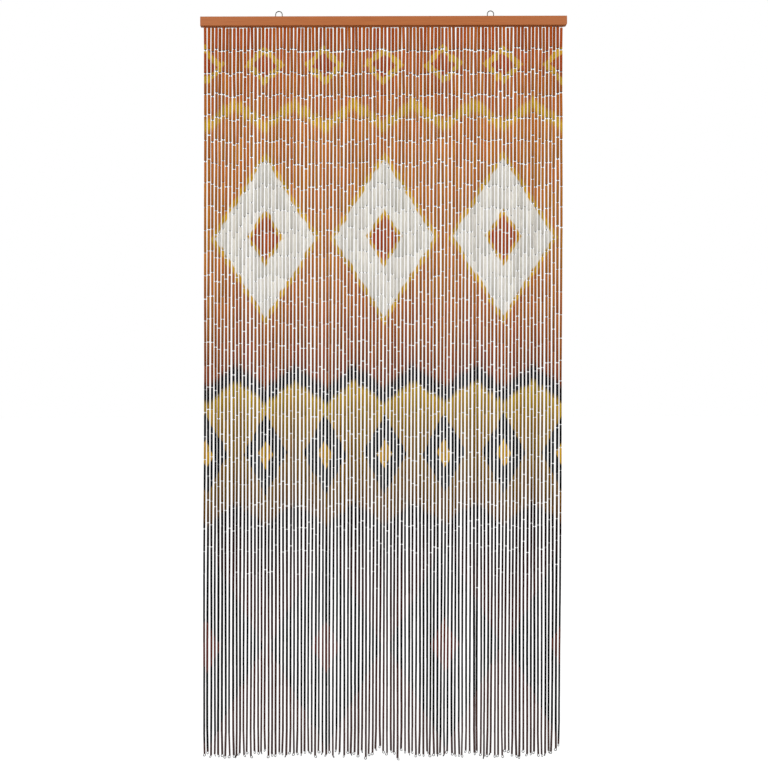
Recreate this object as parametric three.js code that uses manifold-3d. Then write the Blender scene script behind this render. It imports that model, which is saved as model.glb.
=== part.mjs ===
// Bamboo door curtain: a painted wooden rail with two wire eyes on top, and a hundred
// strands that hang from a strip under it.
// Millimetres, +Z up, +X along the rail, front towards -Y.
// The origin is over the middle of the rail, at the height where hooks bear in the eyes.

import * as THREE from "three";
import { mergeVertices } from "three/addons/utils/BufferGeometryUtils.js";
import Module from "manifold-3d";

const wasm = await Module();
wasm.setup();

// Clearance left between pieces that touch on the real curtain
const CLEARANCE = 0.3;

// Points closer than this are one point, and a rounded corner is drawn in so many steps
const MERGE_DISTANCE = 1e-4;
const ARC_STEPS = 4;

// Wire eyes: each a steel wire bent into an arch that faces the front, both legs in the rail
const WIRE_DIAMETER = 2.4;
const WIRE_SIDES = 8;
const WIRE_STEPS = 36;
const ARCH_ANGLE_STEP = 30;
const EYE_CLEAR_HEIGHT = 14.2;
const LEG_LENGTH = 12;
const EYES = [
  { name: "wire_eye_left", x: -286, width: 20.4 },
  { name: "wire_eye_right", x: 292, width: 19.4 },
];

// Rail: a batten with rounded front edges, its right end eased more than its left
const RAIL_LENGTH = 1000;
const RAIL_HEIGHT = 26;
const RAIL_DEPTH = 16;
const RAIL_TOP = -EYE_CLEAR_HEIGHT;
const RAIL_BOTTOM = RAIL_TOP - RAIL_HEIGHT;
const RAIL_FRONT_RADIUS = 2;
const RAIL_BACK_RADIUS = 0.8;
const RAIL_LEFT_RADIUS = 0.8;
const RAIL_RIGHT_TOP_RADIUS = 2;
const RAIL_RIGHT_BOTTOM_RADIUS = 5;
const BORE_DIAMETER = WIRE_DIAMETER + 2 * CLEARANCE;
const BORE_DEPTH = LEG_LENGTH + CLEARANCE;
const BORE_SIDES = 16;

// Hanging strip under the rail
const STRIP_LENGTH = 984;
const STRIP_DEPTH = 8;
const STRIP_THICKNESS = 1.6;
const STRIP_TOP = RAIL_BOTTOM - CLEARANCE;
const STRIP_BOTTOM = STRIP_TOP - STRIP_THICKNESS;

// Strands: four-sided, as wide as the bamboo tubes, which are thicker near the rail
const STRAND_COUNT = 100;
const STRAND_ROOT_SPAN = 973.6;
const STRAND_DROP = 1991;
const STRAND_SPANS = 9;
const ROOT_OVERLAP = 1;
const TUBE_LENGTH = 62;
const TUBE_DIAMETER_TOP = 7.9;
const TUBE_DIAMETER_FOOT = 5.6;
const THINNING_POWER = 1.5;
const DIAMETER_SCATTER_TOP = 0.04;
const DIAMETER_SCATTER_FOOT = 0.12;

// How the strands hang: all lean a little to the left, and each wanders about its place
const LEAN_LEFT_SIDE = -9.0;
const LEAN_RIGHT_SIDE = -12.7;
const PLACE_SCATTER = 0.65;
const SETTLED_SHARE = 0.35;
const ROW_WAVE = 0.6;
const ROW_WAVE_STRANDS = 17;
const ROW_WAVE_DRIFT = 0.8;
const SWAY_SIDEWAYS = 0.5;
const SWAY_DEPTH = 1.2;
const SWAY_LENGTH = 900;
const TAIL_SWING = 1.9;
const DROP_SCATTER = 7;
const DROP_OUTLIER = 9;
const OUTLIER_POWER = 5;

// Strands that stand out, counted from the left: some feet end high, and some strands are
// pushed sideways, three of them so that two nearly touch and a wide gap opens beside them
const ODD_STRANDS = [
  { strand: 6, shorter: 0, sidewaysTop: -0.6, sidewaysFoot: 0 },
  { strand: 49, shorter: 22, sidewaysTop: 0, sidewaysFoot: 0 },
  { strand: 75, shorter: 0, sidewaysTop: -0.6, sidewaysFoot: 1.3 },
  { strand: 76, shorter: 0, sidewaysTop: -0.1, sidewaysFoot: -1.3 },
  { strand: 77, shorter: 0, sidewaysTop: 0.9, sidewaysFoot: 1.3 },
  { strand: 98, shorter: 12, sidewaysTop: 0, sidewaysFoot: 0 },
  { strand: 99, shorter: 20, sidewaysTop: 0, sidewaysFoot: 0 },
];
const NOT_ODD = { shorter: 0, sidewaysTop: 0, sidewaysFoot: 0 };

// Traits that differ from strand to strand, and the constants of the scatter that sets them
const TRAIT = { drop: 1, outlier: 2, phase: 3, rootPlace: 4, lowPlace: 5, tail: 6, width: 7 };
const SCATTER_STRAND = 127.1;
const SCATTER_TRAIT = 311.7;
const SCATTER_GAIN = 43758.5453;

const railPaint = new THREE.MeshStandardMaterial({ color: 0xb46d41, roughness: 0.5 });
const steelWire = new THREE.MeshStandardMaterial({ color: 0x9b968e, roughness: 0.35, metalness: 1 });
const paintedBamboo = new THREE.MeshStandardMaterial({ color: 0x9a6440, roughness: 0.6 });

// A closed geometry as a solid that can be joined and cut
function toSolid(geometry) {
  geometry.deleteAttribute("normal");
  geometry.deleteAttribute("uv");
  const merged = mergeVertices(geometry, MERGE_DISTANCE);
  const mesh = new wasm.Mesh({
    numProp: 3,
    vertProperties: new Float32Array(merged.attributes.position.array),
    triVerts: new Uint32Array(merged.index.array),
  });
  return new wasm.Manifold(mesh);
}

function toGeometry(solid) {
  const mesh = solid.getMesh();
  const geometry = new THREE.BufferGeometry();
  geometry.setAttribute("position", new THREE.BufferAttribute(mesh.vertProperties, 3));
  geometry.setIndex(new THREE.BufferAttribute(mesh.triVerts, 1));
  geometry.computeVertexNormals();
  return geometry;
}

function part(name, geometry, material) {
  const mesh = new THREE.Mesh(geometry, material);
  mesh.name = name;
  return mesh;
}

// A rectangle centred on the origin, with a radius for each corner
function roundedRectangle(width, height, radii) {
  const corners = [
    { radius: radii.bottomLeft, sideX: -1, sideY: -1, start: Math.PI },
    { radius: radii.bottomRight, sideX: 1, sideY: -1, start: 1.5 * Math.PI },
    { radius: radii.topRight, sideX: 1, sideY: 1, start: 0 },
    { radius: radii.topLeft, sideX: -1, sideY: 1, start: 0.5 * Math.PI },
  ];
  const shape = new THREE.Shape();
  for (const { radius, sideX, sideY, start } of corners) {
    const x = sideX * (width / 2 - radius);
    const y = sideY * (height / 2 - radius);
    shape.absarc(x, y, radius, start, start + 0.5 * Math.PI);
  }
  return shape;
}

// Rail: what its front outline, pushed back, and its section, drawn along, have in common
function makeRail() {
  const middle = (RAIL_TOP + RAIL_BOTTOM) / 2;
  const extrude = (shape, depth) => new THREE.ExtrudeGeometry(shape, {
    depth,
    bevelEnabled: false,
    curveSegments: ARC_STEPS,
  });

  const frontOutline = roundedRectangle(RAIL_LENGTH, RAIL_HEIGHT, {
    bottomLeft: RAIL_LEFT_RADIUS,
    topLeft: RAIL_LEFT_RADIUS,
    topRight: RAIL_RIGHT_TOP_RADIUS,
    bottomRight: RAIL_RIGHT_BOTTOM_RADIUS,
  });
  const outlined = extrude(frontOutline, RAIL_DEPTH);
  outlined.rotateX(Math.PI / 2);
  outlined.translate(0, RAIL_DEPTH / 2, middle);

  const section = roundedRectangle(RAIL_DEPTH, RAIL_HEIGHT, {
    bottomLeft: RAIL_FRONT_RADIUS,
    topLeft: RAIL_FRONT_RADIUS,
    topRight: RAIL_BACK_RADIUS,
    bottomRight: RAIL_BACK_RADIUS,
  });
  const drawn = extrude(section, RAIL_LENGTH);
  const alongRail = new THREE.Matrix4().makeBasis(
    new THREE.Vector3(0, 1, 0),
    new THREE.Vector3(0, 0, 1),
    new THREE.Vector3(1, 0, 0),
  );
  drawn.applyMatrix4(alongRail);
  drawn.translate(-RAIL_LENGTH / 2, 0, middle);

  let rail = toSolid(outlined).intersect(toSolid(drawn));
  for (const eye of EYES) {
    const side = archRadius(eye);
    rail = rail.subtract(toSolid(legBore(eye.x - side))).subtract(toSolid(legBore(eye.x + side)));
  }
  return part("header_rail", toGeometry(rail), railPaint);
}

// A blind hole for a leg, its mouth a little over the rail's top
function legBore(x) {
  const length = BORE_DEPTH + CLEARANCE;
  const bore = new THREE.CylinderGeometry(BORE_DIAMETER / 2, BORE_DIAMETER / 2, length, BORE_SIDES);
  bore.rotateX(Math.PI / 2);
  bore.translate(x, 0, RAIL_TOP + CLEARANCE - length / 2);
  return bore;
}

// From the middle of an arch to the middle of its wire
function archRadius({ width }) {
  return (width - WIRE_DIAMETER) / 2;
}

// Wire eye: the wire rises straight from the rail, turns over in a half circle and goes down again
function makeEye(eye) {
  const radius = archRadius(eye);
  const springing = EYE_CLEAR_HEIGHT + WIRE_DIAMETER / 2 - radius;
  const legPlaces = [-LEG_LENGTH, -LEG_LENGTH / 2, 0, springing / 2];
  const route = legPlaces.map((z) => new THREE.Vector3(-radius, 0, z));
  for (let angle = 180; angle >= 0; angle -= ARCH_ANGLE_STEP) {
    const turn = THREE.MathUtils.degToRad(angle);
    route.push(new THREE.Vector3(radius * Math.cos(turn), 0, springing + radius * Math.sin(turn)));
  }
  route.push(...legPlaces.reverse().map((z) => new THREE.Vector3(radius, 0, z)));
  const wireSection = new THREE.Shape();
  for (let side = 0; side < WIRE_SIDES; side += 1) {
    const turn = (2 * Math.PI * (side + 0.5)) / WIRE_SIDES;
    const corner = [WIRE_DIAMETER / 2 * Math.cos(turn), WIRE_DIAMETER / 2 * Math.sin(turn)];
    if (side === 0) {
      wireSection.moveTo(...corner);
    } else {
      wireSection.lineTo(...corner);
    }
  }
  const wire = new THREE.ExtrudeGeometry(wireSection, {
    steps: WIRE_STEPS,
    extrudePath: new THREE.CatmullRomCurve3(route),
  });
  const bent = part(eye.name, toGeometry(toSolid(wire)), steelWire);
  bent.position.set(eye.x, 0, RAIL_TOP);
  return bent;
}

// A repeatable number from -1 to 1 for each strand and each trait
function scatter(strand, trait) {
  const wave = Math.sin(strand * SCATTER_STRAND + trait * SCATTER_TRAIT) * SCATTER_GAIN;
  return 2 * (wave - Math.floor(wave)) - 1;
}

function oddity(strand) {
  return ODD_STRANDS.find((odd) => odd.strand === strand) ?? NOT_ODD;
}

// How far a strand reaches below the strip: most differ by a few millimetres, some by more
function strandDrop(strand) {
  return STRAND_DROP
    + DROP_SCATTER * scatter(strand, TRAIT.drop)
    + DROP_OUTLIER * scatter(strand, TRAIT.outlier) ** OUTLIER_POWER
    - oddity(strand).shorter;
}

// Where a strand's middle hangs at a depth below the strip
function strandPlace(strand, depth) {
  const share = depth / STRAND_DROP;
  const across = strand / (STRAND_COUNT - 1);
  const settled = THREE.MathUtils.smoothstep(share, 0, SETTLED_SHARE);
  const place = scatter(strand, TRAIT.rootPlace) * (1 - settled) + scatter(strand, TRAIT.lowPlace) * settled;
  const tail = Math.max(0, depth - (strandDrop(strand) - TUBE_LENGTH)) / TUBE_LENGTH;
  const odd = oddity(strand);
  const phase = Math.PI * scatter(strand, TRAIT.phase);
  const x = (across - 0.5) * STRAND_ROOT_SPAN
    + (LEAN_LEFT_SIDE + (LEAN_RIGHT_SIDE - LEAN_LEFT_SIDE) * across) * share
    + PLACE_SCATTER * place
    + ROW_WAVE * Math.sin(2 * Math.PI * (strand / ROW_WAVE_STRANDS + ROW_WAVE_DRIFT * share))
    + SWAY_SIDEWAYS * Math.sin(2 * Math.PI * depth / SWAY_LENGTH + phase)
    + odd.sidewaysTop + (odd.sidewaysFoot - odd.sidewaysTop) * share
    + TAIL_SWING * scatter(strand, TRAIT.tail) * tail;
  const y = SWAY_DEPTH * share * Math.sin(2 * Math.PI * depth / SWAY_LENGTH + 2 * phase);
  return { x, y };
}

function strandWidth(strand, depth) {
  const share = depth / STRAND_DROP;
  const thinning = Math.max(0, 1 - share) ** THINNING_POWER;
  const even = TUBE_DIAMETER_FOOT + (TUBE_DIAMETER_TOP - TUBE_DIAMETER_FOOT) * thinning;
  const uneven = DIAMETER_SCATTER_TOP + (DIAMETER_SCATTER_FOOT - DIAMETER_SCATTER_TOP) * share;
  return even * (1 + uneven * scatter(strand, TRAIT.width));
}

// One strand: a box cut into spans down its length, each cross-section moved to its place.
// The last span is the lowest tube, and the first starts a little inside the strip.
function makeStrand(strand) {
  const drop = strandDrop(strand);
  const geometry = new THREE.BoxGeometry(1, 1, 1, 1, 1, STRAND_SPANS);
  const corners = geometry.attributes.position;
  for (let corner = 0; corner < corners.count; corner += 1) {
    const span = Math.round((0.5 - corners.getZ(corner)) * STRAND_SPANS);
    const inChain = (drop - TUBE_LENGTH) * (span / (STRAND_SPANS - 1));
    const depth = span === STRAND_SPANS ? drop : inChain;
    const place = strandPlace(strand, depth);
    const width = strandWidth(strand, depth);
    const sunk = span === 0 ? ROOT_OVERLAP : 0;
    corners.setXYZ(
      corner,
      place.x + corners.getX(corner) * width,
      place.y + corners.getY(corner) * width,
      STRIP_BOTTOM - depth + sunk,
    );
  }
  return toSolid(geometry);
}

function makeStrandCurtain() {
  const strip = new THREE.BoxGeometry(STRIP_LENGTH, STRIP_DEPTH, STRIP_THICKNESS);
  strip.translate(0, 0, (STRIP_TOP + STRIP_BOTTOM) / 2);
  let curtain = toSolid(strip);
  for (let strand = 0; strand < STRAND_COUNT; strand += 1) {
    curtain = curtain.add(makeStrand(strand));
  }
  return part("strand_curtain", toGeometry(curtain), paintedBamboo);
}

const curtain = new THREE.Group();
curtain.add(makeRail());
for (const eye of EYES) {
  curtain.add(makeEye(eye));
}
curtain.add(makeStrandCurtain());

export default curtain;
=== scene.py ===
# Bamboo door curtain: a painted rail with two wire eyes, and a hundred chains of painted
# bamboo tubes on wire links that hang from a strip under it. Metres, +Z up, front towards -Y.

import math

import bpy
import numpy as np
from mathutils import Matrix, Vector


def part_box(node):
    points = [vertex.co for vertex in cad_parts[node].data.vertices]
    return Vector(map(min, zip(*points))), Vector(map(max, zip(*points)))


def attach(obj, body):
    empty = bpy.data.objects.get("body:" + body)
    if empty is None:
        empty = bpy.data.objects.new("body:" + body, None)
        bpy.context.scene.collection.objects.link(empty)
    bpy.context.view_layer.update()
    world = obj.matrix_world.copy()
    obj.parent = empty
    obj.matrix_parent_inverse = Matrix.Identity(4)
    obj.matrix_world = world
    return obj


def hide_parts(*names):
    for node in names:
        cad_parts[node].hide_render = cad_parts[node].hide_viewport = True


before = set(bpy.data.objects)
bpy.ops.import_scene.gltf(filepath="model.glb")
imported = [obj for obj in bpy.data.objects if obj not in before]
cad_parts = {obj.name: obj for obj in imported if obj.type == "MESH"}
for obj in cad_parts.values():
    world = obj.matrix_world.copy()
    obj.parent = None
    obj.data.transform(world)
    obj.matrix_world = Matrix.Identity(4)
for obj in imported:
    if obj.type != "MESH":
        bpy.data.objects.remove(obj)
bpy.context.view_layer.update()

MM = 0.001

# Heights read from the frame
RAIL_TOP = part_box("header_rail")[1].z
CURTAIN_LOW, CURTAIN_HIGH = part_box("strand_curtain")
CURTAIN_FOOT = CURTAIN_LOW.z
STRIP_TOP = CURTAIN_HIGH.z

# Hanging strip under the rail, with the sizes it has in the frame
STRIP_THICKNESS = 1.6 * MM
STRIP_BOTTOM = STRIP_TOP - STRIP_THICKNESS
STRIP_LENGTH = 984 * MM
STRIP_DEPTH = 8 * MM
STRIP_EDGE = 0.4 * MM
STRIP_EDGE_STEPS = 2

# Wire eyes: each a steel wire bent into an arch, with the sizes it has in the frame
WIRE_EYES = [
    {"node": "wire_eye_left", "x": -286 * MM, "width": 20.4 * MM},
    {"node": "wire_eye_right", "x": 292 * MM, "width": 19.4 * MM},
]
EYE_WIRE = 2.4 * MM
EYE_CLEAR_HEIGHT = 14.2 * MM
EYE_LEG = 12 * MM
EYE_ARCH_STEPS = 29
EYE_ROUNDING = 5

# Strands: how they hang, the same as in the frame
STRAND_COUNT = 100
STRAND_ROOT_SPAN = 973.6 * MM
STRAND_DROP = 1991 * MM
LAST_TUBE = 62 * MM
TUBE_DIAMETER_TOP = 7.9 * MM
TUBE_DIAMETER_FOOT = 5.6 * MM
THINNING_POWER = 1.5
DIAMETER_SCATTER_TOP = 0.04
DIAMETER_SCATTER_FOOT = 0.12
LEAN_LEFT_SIDE = -9.0 * MM
LEAN_RIGHT_SIDE = -12.7 * MM
PLACE_SCATTER = 0.65 * MM
SETTLED_SHARE = 0.35
ROW_WAVE = 0.6 * MM
ROW_WAVE_STRANDS = 17
ROW_WAVE_DRIFT = 0.8
SWAY_SIDEWAYS = 0.5 * MM
SWAY_DEPTH = 1.2 * MM
SWAY_LENGTH = 900 * MM
TAIL_SWING = 1.9 * MM
DROP_SCATTER = 7 * MM
DROP_OUTLIER = 9 * MM
OUTLIER_POWER = 5

# Odd strands: three are shorter, 75 and 76 nearly meet at the foot with a wide gap beside
# them, and 6, 75 and 77 stand aside at the rail
ODD_STRANDS = {
    6: {"shorter": 0, "sideways_top": -0.6 * MM, "sideways_foot": 0},
    49: {"shorter": 22 * MM, "sideways_top": 0, "sideways_foot": 0},
    75: {"shorter": 0, "sideways_top": -0.6 * MM, "sideways_foot": 1.3 * MM},
    76: {"shorter": 0, "sideways_top": -0.1 * MM, "sideways_foot": -1.3 * MM},
    77: {"shorter": 0, "sideways_top": 0.9 * MM, "sideways_foot": 1.3 * MM},
    98: {"shorter": 12 * MM, "sideways_top": 0, "sideways_foot": 0},
    99: {"shorter": 20 * MM, "sideways_top": 0, "sideways_foot": 0},
}
NOT_ODD = {"shorter": 0, "sideways_top": 0, "sideways_foot": 0}

# Scatter: each trait has its own number, and askew counts on from its number, joint by joint
TRAIT = {
    "drop": 1, "outlier": 2, "phase": 3, "root_place": 4,
    "low_place": 5, "tail": 6, "width": 7, "askew": 8,
}
SCATTER_STRAND = 127.1
SCATTER_TRAIT = 311.7
SCATTER_GAIN = 43758.5453

# Tubes: cut bamboo, its edges eased by the saw and the paint
TUBES_PER_STRAND = 32
TUBE_SIDES = 12
TUBE_BORE = 3.0 * MM
TUBE_CHAMFER = 0.28 * MM
TUBE_START = 2.2 * MM
TUBE_START_SCATTER = 1.8 * MM
TUBE_LENGTH_SCATTER = 5.4 * MM
TUBE_WIDTH_SCATTER = 0.03
TUBE_TAPER = 0.02
TUBE_SLIP_SIDEWAYS = 0.15 * MM

# Tubes near the rail stand a little askew: each end is pushed towards a neighbour, into the
# room there
ASKEW_TO = 500 * MM
ASKEW_SHARE = 0.45
ASKEW_MARGIN = 0.5 * MM

# Gaps at the joints: wider near the rail, where the tubes are thicker, and closed in the
# lowest quarter, where the tubes have slid together
GAP_SMALLEST = 0.1 * MM
GAP_LARGEST = 2.9 * MM
GAP_MORE_AT_RAIL = 2.4 * MM
GAP_EVEN_FROM = 950 * MM
GAP_MORE_BELOW = 0.1 * MM
GAPS_CLOSED_FROM = 1480 * MM
GAPS_CLOSED_SCATTER = 60 * MM

# Wire links: two small eyes hooked into each other at each joint, and a larger one at the foot
LINK_WIRE = 1.0 * MM
LINK_EYE_RADIUS = 0.95 * MM
LINK_EYE_STEPS = 7
LINK_EYES_APART = 1.1 * MM
LINK_TURN_SCATTER = math.radians(25)
FOOT_LINK_WIRE = 1.8 * MM
FOOT_EYE_RADIUS = 3.1 * MM
FOOT_EYE_STEPS = 16
FOOT_EYE_TILT = math.radians(30)
EYE_GAP_ANGLE = math.radians(24)
NECK = 1.2 * MM
ROOT_IN_STRIP = 1.0 * MM

# The foot's eye is wider than the bore, so the lowest tube rests on it
FOOT_REACH = FOOT_EYE_RADIUS + FOOT_LINK_WIRE / 2
FOOT_SEAT = math.sqrt(FOOT_REACH ** 2 - (TUBE_BORE / 2) ** 2)

# Modelling: tubes and links are made once, at the template's length, and stretched to fit. A
# face whose normal is as upright as FACES_AN_END lies in an end of a tube.
TEMPLATE_LENGTH = 20 * MM
FACES_AN_END = 0.9
TOUCHING = 0.001 * MM
WELD = 0.01 * MM
SHARP_ANGLE = math.radians(40)
STRANDS_PER_PIECE = 10
SEED = 11

# Camera, as the curtain was photographed: level, at half its height, turned by a trace
CAMERA_PLACE = (-1.5 * MM, -2.90, -1.0174)
CAMERA_LENS = 49.75
CAMERA_SENSOR = 36
CAMERA_ROLL = math.radians(0.146)

# Room, lights and floor. The room lights the curtain less than the camera sees it shine.
ROOM_COLOUR = "#FFFFFF"
ROOM_LIGHT = 0.4
ROOM_SEEN = 1.0
SOFT_LIGHTS = [
    {"name": "left_light", "place": (-4.0, -5.0, 2.0), "size": 2.0, "power": 195},
    {"name": "right_light", "place": (4.0, -5.0, 2.0), "size": 2.0, "power": 160},
    {"name": "back_light", "place": (2.4, 6.0, 1.2), "size": 3.0, "power": 80},
]
FLOOR_BELOW_FOOT = 30 * MM
FLOOR_SIZE = 60
FLOOR_COLOUR = "#959595"
FLOOR_GLOW_COLOUR = "#FFFFFF"
FLOOR_GLOW = 0.88
FLOOR_ROUGHNESS = 0.9


def linear(hex_colour):
    """An sRGB hex colour as linear red, green, blue and alpha."""
    parts = [int(hex_colour[place:place + 2], 16) / 255 for place in (1, 3, 5)]
    return (*[c / 12.92 if c <= 0.04045 else ((c + 0.055) / 1.055) ** 2.4 for c in parts], 1)


def only(piece):
    """Leaves one piece selected and active."""
    bpy.ops.object.select_all(action="DESELECT")
    piece.select_set(True)
    bpy.context.view_layer.objects.active = piece


def choose_faces(piece, wanted):
    """Selects the faces that pass a test, and enters edit mode on them."""
    only(piece)
    bpy.ops.object.mode_set(mode="EDIT")
    bpy.ops.mesh.select_mode(type="FACE")
    bpy.ops.mesh.select_all(action="DESELECT")
    bpy.ops.object.mode_set(mode="OBJECT")
    for face in piece.data.polygons:
        face.select = wanted(face)
    bpy.ops.object.mode_set(mode="EDIT")


def choose_edges(piece, wanted):
    """Selects the edges whose two ends both pass a test, and enters edit mode on them."""
    only(piece)
    bpy.ops.object.mode_set(mode="EDIT")
    bpy.ops.mesh.select_mode(type="EDGE")
    bpy.ops.mesh.select_all(action="DESELECT")
    bpy.ops.object.mode_set(mode="OBJECT")
    corners = piece.data.vertices
    for edge in piece.data.edges:
        edge.select = all(wanted(corners[end].co) for end in edge.vertices)
    bpy.ops.object.mode_set(mode="EDIT")


# Tube and wire shapes

def cut_tube():
    """A tube of template length about the origin, bored through. Material 1 is sawn bamboo."""
    radius = TUBE_DIAMETER_TOP / 2
    bore = TUBE_BORE / 2
    bpy.ops.mesh.primitive_cylinder_add(vertices=TUBE_SIDES, radius=radius, depth=TEMPLATE_LENGTH)
    tube = bpy.context.object
    choose_faces(tube, lambda face: abs(face.normal.z) > FACES_AN_END)
    bpy.ops.mesh.inset(thickness=(radius - bore) * math.cos(math.pi / TUBE_SIDES))
    bpy.ops.mesh.bridge_edge_loops()
    bpy.ops.object.mode_set(mode="OBJECT")

    # The outer corners carry the rims and the edges along the tube, and all of these are eased
    choose_edges(tube, lambda corner: corner.xy.length > radius - TOUCHING)
    bpy.ops.mesh.bevel(offset=TUBE_CHAMFER, segments=1, affect="EDGES")
    bpy.ops.object.mode_set(mode="OBJECT")
    for face in tube.data.polygons:
        in_bore = face.center.xy.length < (radius + bore) / 2
        face.material_index = int(in_bore or abs(face.normal.z) > FACES_AN_END)
    return tube


def bent_wire(name, route, thickness, rounding):
    """A solid wire along a route. Rounding 0 gives it four sides, and each step two more."""
    line = bpy.data.curves.new(name, "CURVE")
    line.dimensions = "3D"
    line.bevel_depth = thickness / 2
    line.bevel_resolution = rounding
    line.use_fill_caps = True
    run = line.splines.new("POLY")
    run.points.add(len(route) - 1)
    for point, place in zip(run.points, route):
        point.co = (*place, 1)
    wire = bpy.data.objects.new(name, line)
    bpy.context.scene.collection.objects.link(wire)
    only(wire)
    bpy.ops.object.convert(target="MESH")
    wire = bpy.context.object
    bpy.ops.object.mode_set(mode="EDIT")
    bpy.ops.mesh.select_all(action="SELECT")
    bpy.ops.mesh.remove_doubles(threshold=WELD)
    bpy.ops.mesh.normals_make_consistent(inside=False)
    bpy.ops.object.mode_set(mode="OBJECT")
    return wire


def eye_route(radius, steps, side):
    """A link's bent eye about the origin, from its free end to its neck, which is below it for
    side 1 and above it for side -1."""
    turns = np.linspace(2 * math.pi - EYE_GAP_ANGLE, EYE_GAP_ANGLE, steps)
    bend = [(radius * math.sin(turn), 0, -side * radius * math.cos(turn)) for turn in turns]
    return [*bend, (0, 0, -side * (radius + NECK))]


def link_shape(name, upper_radius, lower_radius, lower_steps, thickness):
    """A link with an eye at each end. Upper radius 0 gives it a straight end in the strip."""
    half = TEMPLATE_LENGTH / 2
    upper = [(0, 0, ROOT_IN_STRIP)]
    if upper_radius:
        upper = eye_route(upper_radius, LINK_EYE_STEPS, 1)
    lower = eye_route(lower_radius, lower_steps, -1)[::-1]
    route = [(x, y, z + half) for x, y, z in upper] + [(x, y, z - half) for x, y, z in lower]
    return stretchable(bent_wire(name, route, thickness, 0))


def stretchable(piece):
    """Reads a piece of template length as a shape whose two ends go to two places, and removes it."""
    corners = np.array([corner.co for corner in piece.data.vertices])
    upper = corners[:, 2] > 0
    corners[:, 2] -= np.where(upper, 0.5, -0.5) * TEMPLATE_LENGTH
    shape = {
        "corners": corners,
        "upper": upper,
        "faces": [list(face.vertices) for face in piece.data.polygons],
        "finish": [face.material_index for face in piece.data.polygons],
    }
    bpy.data.objects.remove(piece)
    return shape


# How the strands hang. A share is a depth as a part of the usual drop.

def scatter(strand, trait):
    """A repeatable number from -1 to 1 for each strand and trait, from a very steep wave."""
    wave = math.sin(strand * SCATTER_STRAND + trait * SCATTER_TRAIT) * SCATTER_GAIN
    return 2 * (wave - math.floor(wave)) - 1


def strand_drop(strand):
    """How far a strand reaches below the strip."""
    return (
        STRAND_DROP
        + DROP_SCATTER * scatter(strand, TRAIT["drop"])
        + DROP_OUTLIER * scatter(strand, TRAIT["outlier"]) ** OUTLIER_POWER
        - ODD_STRANDS.get(strand, NOT_ODD)["shorter"]
    )


def strand_points(strand, depths):
    """The points of a strand's middle at an array of depths below the strip."""
    share = depths / STRAND_DROP
    across = strand / (STRAND_COUNT - 1)

    # Each strand eases from its own place at the strip to another place lower down
    rise = np.clip(share / SETTLED_SHARE, 0, 1)
    settled = rise * rise * (3 - 2 * rise)
    root_place = scatter(strand, TRAIT["root_place"])
    low_place = scatter(strand, TRAIT["low_place"])
    place = root_place * (1 - settled) + low_place * settled

    tail = np.maximum(0, depths - (strand_drop(strand) - LAST_TUBE)) / LAST_TUBE
    odd = ODD_STRANDS.get(strand, NOT_ODD)
    phase = math.pi * scatter(strand, TRAIT["phase"])
    x = (
        (across - 0.5) * STRAND_ROOT_SPAN
        + (LEAN_LEFT_SIDE + (LEAN_RIGHT_SIDE - LEAN_LEFT_SIDE) * across) * share
        + PLACE_SCATTER * place
        + ROW_WAVE * np.sin(2 * math.pi * (strand / ROW_WAVE_STRANDS + ROW_WAVE_DRIFT * share))
        + SWAY_SIDEWAYS * np.sin(2 * math.pi * depths / SWAY_LENGTH + phase)
        + odd["sideways_top"] + (odd["sideways_foot"] - odd["sideways_top"]) * share
        + TAIL_SWING * scatter(strand, TRAIT["tail"]) * tail
    )
    y = SWAY_DEPTH * share * np.sin(2 * math.pi * depths / SWAY_LENGTH + 2 * phase)
    return np.stack([x, y, STRIP_BOTTOM - depths], axis=1)


def tube_width(strand, depths):
    """The tubes' diameter, which is larger near the rail."""
    share = depths / STRAND_DROP
    thinning = np.maximum(0, 1 - share) ** THINNING_POWER
    even = TUBE_DIAMETER_FOOT + (TUBE_DIAMETER_TOP - TUBE_DIAMETER_FOOT) * thinning
    uneven = DIAMETER_SCATTER_TOP + (DIAMETER_SCATTER_FOOT - DIAMETER_SCATTER_TOP) * share
    return even * (1 + uneven * scatter(strand, TRAIT["width"]))


def askew(strand, depths):
    """How far the ends of the tubes are pushed sideways, at an array of joints."""
    middles = strand_points(strand, depths)[:, 0]
    widths = tube_width(strand, depths)
    chosen = np.array([scatter(strand, TRAIT["askew"] + joint) for joint in range(len(depths))])
    fading = ASKEW_SHARE * np.maximum(0, 1 - depths / ASKEW_TO)
    pushed = np.zeros((len(depths), 3))
    for side in (-1, 1):
        apart = np.abs(strand_points(strand + side, depths)[:, 0] - middles)
        taken = (widths + tube_width(strand + side, depths)) / 2
        room = np.maximum(0, apart - taken - ASKEW_MARGIN)
        pushed[:, 0] += np.where(side * chosen > 0, chosen * fading * room, 0)
    return pushed


# Copies of the shapes

def turned(turns, tilts):
    """For each copy, a matrix that turns it about its own upright and then tilts it sideways."""
    made = np.zeros((len(turns), 3, 3))
    made[:, 0, 0] = np.cos(turns) * np.cos(tilts)
    made[:, 0, 1] = -np.sin(turns) * np.cos(tilts)
    made[:, 0, 2] = np.sin(tilts)
    made[:, 1, 0] = np.sin(turns)
    made[:, 1, 1] = np.cos(turns)
    made[:, 2, 0] = -np.cos(turns) * np.sin(tilts)
    made[:, 2, 1] = np.sin(turns) * np.sin(tilts)
    made[:, 2, 2] = np.cos(tilts)
    return made


def widened(turns, shares):
    """The same matrices, that also make each copy wider or narrower, but no longer."""
    return turns * np.stack([shares, shares, np.ones(len(shares))], axis=1)[:, :, None]


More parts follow.
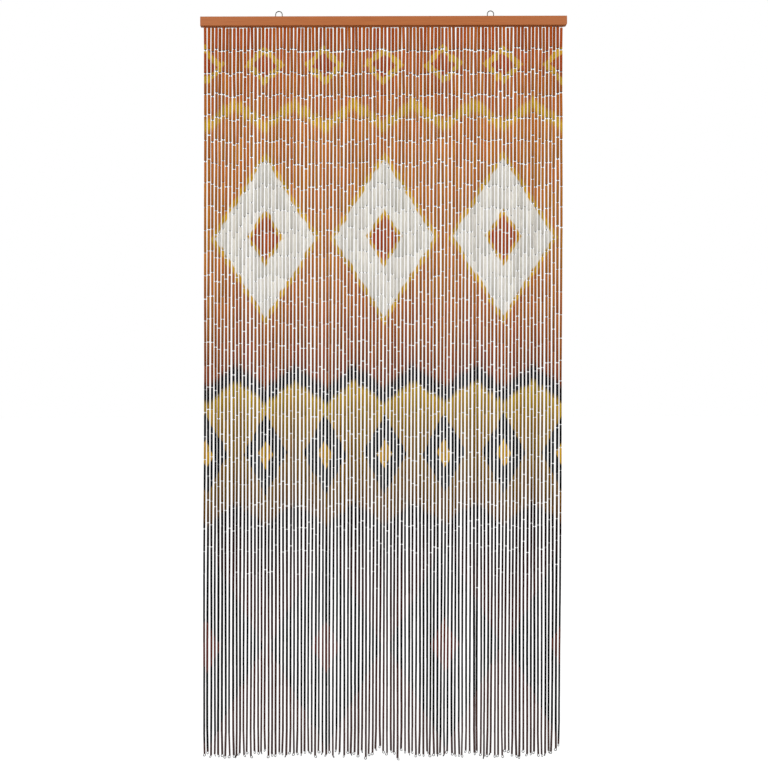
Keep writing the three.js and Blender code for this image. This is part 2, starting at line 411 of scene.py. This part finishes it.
def copies(shape, tops, feet, top_turns, foot_turns, looks):
    """Copies of a stretchable shape, each between its own top and foot."""
    corners = shape["corners"]
    high = np.einsum("nij,cj->nci", top_turns, corners) + tops[:, None, :]
    low = np.einsum("nij,cj->nci", foot_turns, corners) + feet[:, None, :]
    placed = np.where(shape["upper"][None, :, None], high, low).reshape(-1, 3)
    count = len(corners)
    faces = []
    for copy in range(len(tops)):
        faces += [[corner + copy * count for corner in face] for face in shape["faces"]]
    return {
        "corners": placed,
        "faces": faces,
        "finish": shape["finish"] * len(tops),
        "looks": np.repeat(looks, count, axis=0),
    }


def join(name, parts):
    """One mesh of many copies, with what its materials read of each tube."""
    corners = np.concatenate([part["corners"] for part in parts])
    faces = []
    start = 0
    for part in parts:
        faces += [[corner + start for corner in face] for face in part["faces"]]
        start += len(part["corners"])
    mesh = bpy.data.meshes.new(name)
    mesh.from_pydata(corners.tolist(), [], faces)
    mesh.polygons.foreach_set("material_index", sum((part["finish"] for part in parts), []))
    looks = np.concatenate([part["looks"] for part in parts])
    attribute = mesh.attributes.new("tube_look", "FLOAT_VECTOR", "POINT")
    attribute.data.foreach_set("vector", looks.astype(np.float32).ravel())
    mesh.update()
    piece = bpy.data.objects.new(name, mesh)
    bpy.context.scene.collection.objects.link(piece)
    return piece


# One strand

def tube_ends(strand, chance):
    """Depths of the first tube's top, the joints and the last tube's foot, from uneven lengths."""
    start = TUBE_START + TUBE_START_SCATTER * chance.uniform(-1, 1)
    last_end = strand_drop(strand) - FOOT_REACH - FOOT_SEAT
    lengths = chance.uniform(-1, 1, TUBES_PER_STRAND) * TUBE_LENGTH_SCATTER
    lengths += (last_end - start - lengths.sum()) / TUBES_PER_STRAND
    return np.concatenate([[start], start + np.cumsum(lengths)[:-1], [last_end]])


def hang_tubes(strand, ends, pushed, shape, chance):
    """A strand's tubes. Each ends a little above its joint, and the next starts a little below."""
    joints = ends[1:-1]
    gaps = chance.uniform(GAP_SMALLEST, GAP_LARGEST, TUBES_PER_STRAND - 1)
    gaps += np.maximum(GAP_MORE_AT_RAIL * (1 - joints / GAP_EVEN_FROM), GAP_MORE_BELOW)
    closed_from = GAPS_CLOSED_FROM + GAPS_CLOSED_SCATTER * chance.uniform(-1, 1)
    gaps[joints > closed_from] = GAP_SMALLEST
    top_depths = np.concatenate([ends[:1], joints + gaps / 2])
    foot_depths = np.concatenate([joints - gaps / 2, ends[-1:]])

    own_width = 1 + TUBE_WIDTH_SCATTER * chance.uniform(-1, 1, TUBES_PER_STRAND)
    width = tube_width(strand, (top_depths + foot_depths) / 2) * own_width
    taper = TUBE_TAPER * chance.uniform(-1, 1, TUBES_PER_STRAND)
    level = np.array([1, 1, 0])
    slips = chance.uniform(-1, 1, (2, TUBES_PER_STRAND, 3)) * TUBE_SLIP_SIDEWAYS * level
    spin = turned(chance.uniform(0, 2 * math.pi, TUBES_PER_STRAND), np.zeros(TUBES_PER_STRAND))

    # What the paint reads: X for a tube's tone, Y for its tint, Z for how far the design slips on it
    tone = chance.uniform(0, 1, TUBES_PER_STRAND)
    tint = chance.uniform(0, 1, TUBES_PER_STRAND)
    strand_slip = chance.uniform(-1, 1)
    slip = strand_slip + TUBE_SLIP_SHARE * chance.uniform(-1, 1, TUBES_PER_STRAND)
    return copies(
        shape,
        strand_points(strand, top_depths) + slips[0] + pushed[:-1],
        strand_points(strand, foot_depths) + slips[1] + pushed[1:],
        widened(spin, width * (1 + taper) / TUBE_DIAMETER_TOP),
        widened(spin, width * (1 - taper) / TUBE_DIAMETER_TOP),
        np.stack([tone, tint, slip], axis=1),
    )


def hang_links(strand, ends, pushed, shapes, chance):
    """A strand's links. Neighbours' eyes are a quarter turn apart, so that they hook together."""
    quarter = np.arange(TUBES_PER_STRAND) % 2 * math.pi / 2
    turns = chance.uniform(0, math.pi) + quarter
    turns += chance.uniform(-1, 1, TUBES_PER_STRAND) * LINK_TURN_SCATTER
    upright = turned(turns, np.zeros(TUBES_PER_STRAND))
    joints = ends[1:-1]
    foot_centre = strand_drop(strand) - FOOT_REACH
    uppers = strand_points(strand, np.concatenate([[0], joints + LINK_EYES_APART / 2]))
    lowers = strand_points(strand, np.concatenate([joints - LINK_EYES_APART / 2, [foot_centre]]))
    uppers[1:] += pushed[1:-1]
    lowers[:-1] += pushed[1:-1]

    # The foot's eye swings to a side about its neck, which stays in the bore
    foot_turn = turned(turns[-1:], chance.uniform(-1, 1, 1) * FOOT_EYE_TILT)
    neck = np.array([0, 0, FOOT_EYE_RADIUS + NECK])
    lowers[-1] += neck - foot_turn[0] @ neck

    plain = np.zeros((TUBES_PER_STRAND, 3))
    inner = slice(1, -1)
    return [
        copies(shapes["top_link"], uppers[:1], lowers[:1], upright[:1], upright[:1], plain[:1]),
        copies(
            shapes["link"], uppers[inner], lowers[inner], upright[inner], upright[inner], plain[inner]
        ),
        copies(shapes["foot_link"], uppers[-1:], lowers[-1:], upright[-1:], foot_turn, plain[-1:]),
    ]


# Materials

def add_node(tree, kind, fills=None, **settings):
    """Adds a node with its settings, its inputs filled with values or links from other sockets."""
    made = tree.nodes.new(kind)
    for name, value in settings.items():
        setattr(made, name, value)
    for name, value in (fills or {}).items():
        if isinstance(value, bpy.types.NodeSocket):
            tree.links.new(value, made.inputs[name])
        else:
            made.inputs[name].default_value = value
    return made


def new_material(name):
    """A material with an empty node tree, and the tree."""
    material = bpy.data.materials.new(name)
    material.use_nodes = True
    material.node_tree.nodes.clear()
    return material, material.node_tree


# A colour Mix node: the numbers of its factor, of its two colours and of its result
MIX_FACTOR = 0
MIX_BELOW = 6
MIX_ABOVE = 7
MIX_RESULT = 2

# Painted design on the tubes: rows of lozenges over bands with zigzag edges. Its sizes, and
# its depths below the strip, are in metres.
TERRACOTTA = "#A24812"
YELLOW = "#C0911A"
PALE_GREY = "#D6D1C6"
CHARCOAL = "#0A0908"
MAROON = "#5E2A20"
NEAR_BLACK = "#17100E"
GROUND = [
    {"depth": 0.000, "colour": "#A44D14"},
    {"depth": 0.222, "colour": "#AE5F1A"},
    {"depth": 0.230, "colour": YELLOW},
    {"depth": 0.254, "colour": YELLOW},
    {"depth": 0.262, "colour": "#B2661E"},
    {"depth": 0.620, "colour": "#B26B20"},
    {"depth": 0.780, "colour": "#A2591C"},
    {"depth": 0.940, "colour": "#803D16"},
    {"depth": 0.960, "colour": NEAR_BLACK},
    {"depth": 0.990, "colour": NEAR_BLACK},
    {"depth": 1.005, "colour": "#B08A18"},
    {"depth": 1.090, "colour": "#8A6614"},
    {"depth": 1.320, "colour": "#5A380F"},
    {"depth": 1.335, "colour": "#110706"},
    {"depth": 1.400, "colour": "#1A0B09"},
    {"depth": 1.560, "colour": "#3C1E1A"},
    {"depth": 1.690, "colour": "#44221D"},
    {"depth": 1.850, "colour": "#4C302B"},
    {"depth": 2.010, "colour": "#554340"},
]
GROUND_REACH = GROUND[-1]["depth"]
CLOSE_SPACING = 0.1625
WIDE_SPACING = 2 * CLOSE_SPACING
ZIGZAG_HEIGHT = 0.060
LOZENGE_ROWS = [
    {"depth": 0.105, "spacing": CLOSE_SPACING, "offset": 0, "nested": [
        {"half_width": 0.056, "half_height": 0.054, "colour": YELLOW},
        {"half_width": 0.034, "half_height": 0.033, "colour": TERRACOTTA},
    ]},
    {"depth": 0.575, "spacing": WIDE_SPACING, "offset": 0, "nested": [
        {"half_width": 0.150, "half_height": 0.236, "colour": YELLOW},
        {"half_width": 0.137, "half_height": 0.216, "colour": PALE_GREY},
        {"half_width": 0.050, "half_height": 0.079, "colour": YELLOW},
        {"half_width": 0.040, "half_height": 0.063, "colour": TERRACOTTA},
    ]},
    {"depth": 1.165, "spacing": CLOSE_SPACING, "offset": 0, "nested": [
        {"half_width": 0.060, "half_height": 0.110, "colour": CHARCOAL},
        {"half_width": 0.021, "half_height": 0.038, "colour": YELLOW},
    ]},
    {"depth": 1.690, "spacing": WIDE_SPACING, "offset": WIDE_SPACING / 2, "nested": [
        {"half_width": 0.156, "half_height": 0.280, "colour": CHARCOAL},
        {"half_width": 0.040, "half_height": 0.072, "colour": MAROON},
    ]},
]

# Edges of the design: soft, as a spray leaves them, and a little out of line from tube to tube
PAINT_EDGE = 4 * MM
PAINT_SLIP = 5 * MM
TUBE_SLIP_SHARE = 0.5
PAINT_WOBBLE = 6 * MM
PAINT_WOBBLE_LENGTH = 45 * MM

# Painted bamboo. Its fibres are about 0.35 mm apart, too fine to show, so they are drawn twice
# as coarse.
FIBRE_SPACING = 0.7 * MM
FIBRE_LENGTH = 22 * MM
FIBRE_NOISE_LOW = 0.3
FIBRE_NOISE_HIGH = 0.7
DARK_FIBRE = 0.74
LIGHT_FIBRE = 1.26
DARK_TUBE = 0.82
LIGHT_TUBE = 1.18
REDDER_TUBE = 0.494
YELLOWER_TUBE = 0.506
BAMBOO_PAINT_SMOOTHEST = 0.50
BAMBOO_PAINT_ROUGHEST = 0.70
BAMBOO_PAINT_IOR = 1.48
BAMBOO_PAINT_SHINE = 0.10
FIBRE_RELIEF = 0.2 * MM
FIBRE_RELIEF_STRENGTH = 0.25

# Sawn bamboo. Its pores are about 0.2 mm wide, too fine to show, so they are drawn twice as
# coarse.
PORE_SIZE = 0.4 * MM
# Both browns are darker than bare bamboo: partly the paint dust, partly painted shade for the bores and
# the sawn ends.
PORE_AND_SHADE_COLOUR = "#2A1A10"
SAWN_AND_SHADE_COLOUR = "#5E422B"
SAWN_ROUGHNESS = 0.8
SAWN_IOR = 1.45

# Painted softwood, with streaks of grain along the rail
GRAIN_LENGTH = 72 * MM
GRAIN_WIDTH = 2.6 * MM
GRAIN_UNEVEN = 0.6
RAIL_DARK = "#AC5D27"
RAIL_LIGHT = "#BD6C2F"
RAIL_DARK_BELOW = 0.25
RAIL_LIGHT_ABOVE = 0.75
RAIL_SMOOTHEST = 0.38
RAIL_ROUGHEST = 0.52
RAIL_PAINT_IOR = 1.5
GRAIN_RELIEF = 0.3 * MM
GRAIN_RELIEF_STRENGTH = 0.2

# Annealed wire, spotted by its oxide
WIRE_SPOT_SIZE = 1.6 * MM
WIRE_ROUGHNESS = 0.45


def paint_place(tree):
    """Where a point lies on the painted design: across it, and down below the strip."""
    place = add_node(tree, "ShaderNodeTexCoord").outputs["Object"]
    wobble = add_node(
        tree, "ShaderNodeTexNoise", {"Vector": place, "Scale": 1 / PAINT_WOBBLE_LENGTH, "Detail": 2.0}
    )
    apart = add_node(tree, "ShaderNodeSeparateXYZ", {"Vector": place})
    look = add_node(tree, "ShaderNodeAttribute", attribute_name="tube_look")
    slip = add_node(tree, "ShaderNodeSeparateXYZ", {"Vector": look.outputs["Vector"]})
    wobbled = add_node(
        tree, "ShaderNodeMath",
        {0: wobble.outputs["Fac"], 1: PAINT_WOBBLE, 2: STRIP_BOTTOM - PAINT_WOBBLE / 2},
        operation="MULTIPLY_ADD",
    )
    slipped = add_node(
        tree, "ShaderNodeMath", {0: slip.outputs["Z"], 1: PAINT_SLIP, 2: wobbled.outputs[0]},
        operation="MULTIPLY_ADD",
    )
    down = add_node(
        tree, "ShaderNodeMath", {0: slipped.outputs[0], 1: apart.outputs["Z"]}, operation="SUBTRACT"
    )
    return place, apart.outputs["X"], down.outputs[0]


def zigzag_ground(tree, across, down):
    """Bands of ground colour, their edges bent into a zigzag."""
    wave = add_node(tree, "ShaderNodeMath", {0: across, 1: CLOSE_SPACING / 2}, operation="PINGPONG")
    bent = add_node(
        tree, "ShaderNodeMath",
        {0: wave.outputs[0], 1: 2 * ZIGZAG_HEIGHT / CLOSE_SPACING, 2: -ZIGZAG_HEIGHT / 2},
        operation="MULTIPLY_ADD",
    )
    depth = add_node(tree, "ShaderNodeMath", {0: down, 1: bent.outputs[0]}, operation="ADD")
    share = add_node(
        tree, "ShaderNodeMath", {0: depth.outputs[0], 1: GROUND_REACH}, operation="DIVIDE"
    )
    ramp = add_node(tree, "ShaderNodeValToRGB", {"Fac": share.outputs[0]})
    stops = ramp.color_ramp.elements
    while len(stops) < len(GROUND):
        stops.new(1)
    for stop, row in zip(stops, GROUND):
        stop.position = row["depth"] / GROUND_REACH
        stop.color = linear(row["colour"])
    return ramp.outputs["Color"]


def lozenge_row(tree, row, across, down, colour):
    """A row of nested lozenges, laid over a colour from the largest to the smallest."""
    moved = add_node(tree, "ShaderNodeMath", {0: across, 1: row["offset"]}, operation="ADD")
    aside = add_node(
        tree, "ShaderNodeMath", {0: moved.outputs[0], 1: row["spacing"] / 2}, operation="PINGPONG"
    )
    apart = add_node(tree, "ShaderNodeMath", {0: down, 1: row["depth"]}, operation="SUBTRACT")
    away = add_node(tree, "ShaderNodeMath", {0: apart.outputs[0]}, operation="ABSOLUTE")
    for lozenge in row["nested"]:
        slope = lozenge["half_width"] / lozenge["half_height"]
        distance = add_node(
            tree, "ShaderNodeMath", {0: away.outputs[0], 1: slope, 2: aside.outputs[0]},
            operation="MULTIPLY_ADD",
        )
        cover = add_node(
            tree, "ShaderNodeMapRange",
            {
                "Value": distance.outputs[0],
                "From Min": lozenge["half_width"] + PAINT_EDGE / 2,
                "From Max": lozenge["half_width"] - PAINT_EDGE / 2,
                "To Min": 0.0,
                "To Max": 1.0,
            },
            interpolation_type="SMOOTHSTEP",
        )
        laid = add_node(
            tree, "ShaderNodeMix",
            {
                MIX_FACTOR: cover.outputs["Result"],
                MIX_BELOW: colour,
                MIX_ABOVE: linear(lozenge["colour"]),
            },
            data_type="RGBA",
        )
        colour = laid.outputs[MIX_RESULT]
    return colour


def painted_bamboo():
    """Bamboo tubes, cut from thin canes and sprayed with thin satin paint. The paint sinks in
    unevenly, so fine lines of fibre and each tube's own brown show through it, and it shines
    softly and low."""
    material, tree = new_material("painted_bamboo")
    place, across, down = paint_place(tree)
    colour = zigzag_ground(tree, across, down)
    for row in LOZENGE_ROWS:
        colour = lozenge_row(tree, row, across, down, colour)

    # Each tube has its own tone and tint
    look = add_node(tree, "ShaderNodeAttribute", attribute_name="tube_look")
    own = add_node(tree, "ShaderNodeSeparateXYZ", {"Vector": look.outputs["Vector"]})
    tone = add_node(
        tree, "ShaderNodeMapRange",
        {"Value": own.outputs["X"], "To Min": DARK_TUBE, "To Max": LIGHT_TUBE},
    )
    tint = add_node(
        tree, "ShaderNodeMapRange",
        {"Value": own.outputs["Y"], "To Min": REDDER_TUBE, "To Max": YELLOWER_TUBE},
    )
    varied = add_node(
        tree, "ShaderNodeHueSaturation",
        {"Hue": tint.outputs["Result"], "Value": tone.outputs["Result"], "Color": colour},
    )

    # Fibres run along the tube, as darker and lighter lines with a faint relief
    drawn_out = (1 / FIBRE_SPACING, 1 / FIBRE_SPACING, 1 / FIBRE_LENGTH)
    stretched = add_node(tree, "ShaderNodeMapping", {"Vector": place, "Scale": drawn_out})
    fibres = add_node(
        tree, "ShaderNodeTexNoise", {"Vector": stretched.outputs["Vector"], "Scale": 1.0, "Detail": 3.0}
    )
    grain = add_node(
        tree, "ShaderNodeMapRange",
        {
            "Value": fibres.outputs["Fac"],
            "From Min": FIBRE_NOISE_LOW,
            "From Max": FIBRE_NOISE_HIGH,
            "To Min": DARK_FIBRE,
            "To Max": LIGHT_FIBRE,
        },
    )
    grained = add_node(
        tree, "ShaderNodeHueSaturation",
        {"Value": grain.outputs["Result"], "Color": varied.outputs["Color"]},
    )
    rough = add_node(
        tree, "ShaderNodeMapRange",
        {
            "Value": fibres.outputs["Fac"],
            "To Min": BAMBOO_PAINT_SMOOTHEST,
            "To Max": BAMBOO_PAINT_ROUGHEST,
        },
    )
    relief = add_node(
        tree, "ShaderNodeBump",
        {
            "Height": fibres.outputs["Fac"],
            "Strength": FIBRE_RELIEF_STRENGTH,
            "Distance": FIBRE_RELIEF,
        },
    )
    shader = add_node(
        tree, "ShaderNodeBsdfPrincipled",
        {
            "Base Color": grained.outputs["Color"],
            "Roughness": rough.outputs["Result"],
            "Normal": relief.outputs["Normal"],
            "IOR": BAMBOO_PAINT_IOR,
            "Specular IOR Level": BAMBOO_PAINT_SHINE,
        },
    )
    add_node(tree, "ShaderNodeOutputMaterial", {"Surface": shader.outputs["BSDF"]})
    return material


def sawn_bamboo():
    """Bare bamboo at the sawn ends and in the bore, dusted with paint. The saw leaves it rough
    and its pores open, so it is matt. It is dark partly from the paint and partly from painted shade."""
    material, tree = new_material("sawn_bamboo")
    place = add_node(tree, "ShaderNodeTexCoord").outputs["Object"]
    pores = add_node(
        tree, "ShaderNodeTexNoise", {"Vector": place, "Scale": 1 / PORE_SIZE, "Detail": 2.0}
    )
    # Darker pores over a dark brown. Both are darker than bare bamboo, partly from paint and partly as
    # painted shade.
    ramp = add_node(tree, "ShaderNodeValToRGB", {"Fac": pores.outputs["Fac"]})
    ramp.color_ramp.elements[0].color = linear(PORE_AND_SHADE_COLOUR)
    ramp.color_ramp.elements[1].color = linear(SAWN_AND_SHADE_COLOUR)
    shader = add_node(
        tree, "ShaderNodeBsdfPrincipled",
        {"Base Color": ramp.outputs["Color"], "Roughness": SAWN_ROUGHNESS, "IOR": SAWN_IOR},
    )
    add_node(tree, "ShaderNodeOutputMaterial", {"Surface": shader.outputs["BSDF"]})
    return material


def painted_softwood():
    """A planed softwood batten under one brushed coat of satin paint. The grain stands up a
    little in it, as long faint streaks in the colour, the shine and the relief."""
    material, tree = new_material("painted_softwood")
    place = add_node(tree, "ShaderNodeTexCoord").outputs["Object"]
    drawn_out = (1 / GRAIN_LENGTH, 1 / GRAIN_WIDTH, 1 / GRAIN_WIDTH)
    stretched = add_node(tree, "ShaderNodeMapping", {"Vector": place, "Scale": drawn_out})
    grain = add_node(
        tree, "ShaderNodeTexNoise",
        {
            "Vector": stretched.outputs["Vector"],
            "Scale": 1.0,
            "Detail": 4.0,
            "Roughness": GRAIN_UNEVEN,
        },
    )
    ramp = add_node(tree, "ShaderNodeValToRGB", {"Fac": grain.outputs["Fac"]})
    dark, light = ramp.color_ramp.elements
    dark.position = RAIL_DARK_BELOW
    dark.color = linear(RAIL_DARK)
    light.position = RAIL_LIGHT_ABOVE
    light.color = linear(RAIL_LIGHT)
    rough = add_node(
        tree, "ShaderNodeMapRange",
        {"Value": grain.outputs["Fac"], "To Min": RAIL_SMOOTHEST, "To Max": RAIL_ROUGHEST},
    )
    relief = add_node(
        tree, "ShaderNodeBump",
        {
            "Height": grain.outputs["Fac"],
            "Strength": GRAIN_RELIEF_STRENGTH,
            "Distance": GRAIN_RELIEF,
        },
    )
    shader = add_node(
        tree, "ShaderNodeBsdfPrincipled",
        {
            "Base Color": ramp.outputs["Color"],
            "Roughness": rough.outputs["Result"],
            "Normal": relief.outputs["Normal"],
            "IOR": RAIL_PAINT_IOR,
        },
    )
    add_node(tree, "ShaderNodeOutputMaterial", {"Surface": shader.outputs["BSDF"]})
    return material


def annealed_wire(name, dark, light):
    """Drawn steel wire, softened by heat. That leaves a thin oxide skin, so it is dull and
    dark, a little spotted, with a blurred metal shine."""
    material, tree = new_material(name)
    place = add_node(tree, "ShaderNodeTexCoord").outputs["Object"]
    spots = add_node(
        tree, "ShaderNodeTexNoise", {"Vector": place, "Scale": 1 / WIRE_SPOT_SIZE, "Detail": 2.0}
    )
    ramp = add_node(tree, "ShaderNodeValToRGB", {"Fac": spots.outputs["Fac"]})
    ramp.color_ramp.elements[0].color = linear(dark)
    ramp.color_ramp.elements[1].color = linear(light)
    shader = add_node(
        tree, "ShaderNodeBsdfPrincipled",
        {"Base Color": ramp.outputs["Color"], "Metallic": 1.0, "Roughness": WIRE_ROUGHNESS},
    )
    add_node(tree, "ShaderNodeOutputMaterial", {"Surface": shader.outputs["BSDF"]})
    return material


# Camera, light and floor

def set_camera():
    """A level camera in front of the curtain, at half its height."""
    bpy.ops.object.camera_add(location=CAMERA_PLACE, rotation=(math.pi / 2, CAMERA_ROLL, 0))
    camera = bpy.context.object
    camera.data.lens = CAMERA_LENS
    camera.data.sensor_width = CAMERA_SENSOR
    bpy.context.scene.camera = camera


def soft_light(row):
    """A large soft light that faces the middle of the curtain."""
    middle = Vector((0, 0, (RAIL_TOP + CURTAIN_FOOT) / 2))
    facing = (middle - Vector(row["place"])).to_track_quat("-Z", "Y").to_euler()
    bpy.ops.object.light_add(type="AREA", location=row["place"], rotation=facing)
    light = bpy.context.object
    light.name = row["name"]
    light.data.shape = "SQUARE"
    light.data.size = row["size"]
    light.data.energy = row["power"]


def light_studio():
    """A room that is seen as white but lights the curtain less, and the soft lights."""
    world = bpy.data.worlds.new("white_room")
    world.use_nodes = True
    tree = world.node_tree
    tree.nodes.clear()
    seen = add_node(tree, "ShaderNodeLightPath").outputs["Is Camera Ray"]
    strength = add_node(
        tree, "ShaderNodeMapRange", {"Value": seen, "To Min": ROOM_LIGHT, "To Max": ROOM_SEEN}
    )
    room = add_node(
        tree, "ShaderNodeBackground",
        {"Color": linear(ROOM_COLOUR), "Strength": strength.outputs["Result"]},
    )
    add_node(tree, "ShaderNodeOutputWorld", {"Surface": room.outputs["Background"]})
    bpy.context.scene.world = world
    for row in SOFT_LIGHTS:
        soft_light(row)
    bpy.context.scene.view_settings.view_transform = "Standard"


def lay_floor():
    """A plain pale floor, a little below the curtain's foot, that throws no light back up."""
    bpy.ops.mesh.primitive_plane_add(
        size=FLOOR_SIZE, location=(0, 0, CURTAIN_FOOT - FLOOR_BELOW_FOOT)
    )
    floor = bpy.context.object
    floor.name = "floor"
    floor.visible_diffuse = False
    floor.visible_glossy = False
    material, tree = new_material("white_floor")
    shader = add_node(
        tree, "ShaderNodeBsdfPrincipled",
        {
            "Base Color": linear(FLOOR_COLOUR),
            "Roughness": FLOOR_ROUGHNESS,
            "Emission Color": linear(FLOOR_GLOW_COLOUR),
            "Emission Strength": FLOOR_GLOW,
        },
    )
    add_node(tree, "ShaderNodeOutputMaterial", {"Surface": shader.outputs["BSDF"]})
    floor.data.materials.append(material)


# Pieces

def dress_rail(paint):
    """The rail keeps its solid, under its paint."""
    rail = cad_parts["header_rail"]
    rail.data.materials.clear()
    rail.data.materials.append(paint)


def make_strip(paint):
    """The strip under the rail that carries the strands."""
    bpy.ops.mesh.primitive_cube_add(size=1, location=(0, 0, (STRIP_TOP + STRIP_BOTTOM) / 2))
    strip = bpy.context.object
    strip.name = "hanging_strip"
    strip.scale = (STRIP_LENGTH, STRIP_DEPTH, STRIP_THICKNESS)
    bpy.ops.object.transform_apply(location=True, rotation=True, scale=True)
    edges = strip.modifiers.new("eased_edges", "BEVEL")
    edges.width = STRIP_EDGE
    edges.segments = STRIP_EDGE_STEPS
    bpy.ops.object.modifier_apply(modifier=edges.name)
    strip.data.materials.append(paint)
    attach(strip, "root")
    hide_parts("strand_curtain")


def make_wire_eye(row, wire_finish):
    """A wire eye: two straight legs in the rail and a half circle over them."""
    radius = (row["width"] - EYE_WIRE) / 2
    springing = RAIL_TOP + EYE_CLEAR_HEIGHT + EYE_WIRE / 2 - radius
    leg_end = RAIL_TOP - EYE_LEG
    route = [(row["x"] - radius, 0, leg_end)]
    for turn in np.linspace(math.pi, 0, EYE_ARCH_STEPS):
        across = row["x"] + radius * math.cos(turn)
        route.append((across, 0, springing + radius * math.sin(turn)))
    route.append((row["x"] + radius, 0, leg_end))
    eye = bent_wire(row["node"] + "_bent", route, EYE_WIRE, EYE_ROUNDING)
    only(eye)
    bpy.ops.object.shade_smooth_by_angle(angle=SHARP_ANGLE)
    eye.data.materials.append(wire_finish)
    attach(eye, "root")
    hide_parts(row["node"])


def strand_shapes():
    """The tube, the link, and the links at a strand's top and foot."""
    return {
        "tube": stretchable(cut_tube()),
        "link": link_shape("link", LINK_EYE_RADIUS, LINK_EYE_RADIUS, LINK_EYE_STEPS, LINK_WIRE),
        "top_link": link_shape("top_link", 0, LINK_EYE_RADIUS, LINK_EYE_STEPS, LINK_WIRE),
        "foot_link": link_shape(
            "foot_link", LINK_EYE_RADIUS, FOOT_EYE_RADIUS, FOOT_EYE_STEPS, FOOT_LINK_WIRE
        ),
    }


def make_strands(painted, sawn, wire_finish):
    """All tubes and links, ten strands to a piece."""
    shapes = strand_shapes()
    chance = np.random.default_rng(SEED)
    for first in range(0, STRAND_COUNT, STRANDS_PER_PIECE):
        tubes = []
        links = []
        for strand in range(first, first + STRANDS_PER_PIECE):
            ends = tube_ends(strand, chance)
            pushed = askew(strand, ends)
            tubes.append(hang_tubes(strand, ends, pushed, shapes["tube"], chance))
            links += hang_links(strand, ends, pushed, shapes, chance)
        number = f"{first // STRANDS_PER_PIECE + 1:02d}"
        tube_piece = join("bamboo_strands_" + number, tubes)
        only(tube_piece)
        bpy.ops.object.shade_smooth_by_angle(angle=SHARP_ANGLE)
        tube_piece.data.materials.append(painted)
        tube_piece.data.materials.append(sawn)
        link_piece = join("wire_links_" + number, links)
        only(link_piece)
        bpy.ops.object.shade_smooth()
        link_piece.data.materials.append(wire_finish)
        for piece in (tube_piece, link_piece):
            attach(piece, "root")
            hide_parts("strand_curtain")


# Loading the frame leaves its nodes selected
bpy.ops.object.select_all(action="DESELECT")
set_camera()
light_studio()
lay_floor()

rail_finish = painted_softwood()
eye_finish = annealed_wire("annealed_steel_wire", dark="#4A443E", light="#6E665E")
link_finish = annealed_wire("black_annealed_steel_wire", dark="#1D1B19", light="#34312E")
dress_rail(rail_finish)
make_strip(rail_finish)
for wire_eye in WIRE_EYES:
    make_wire_eye(wire_eye, eye_finish)
make_strands(painted_bamboo(), sawn_bamboo(), link_finish)
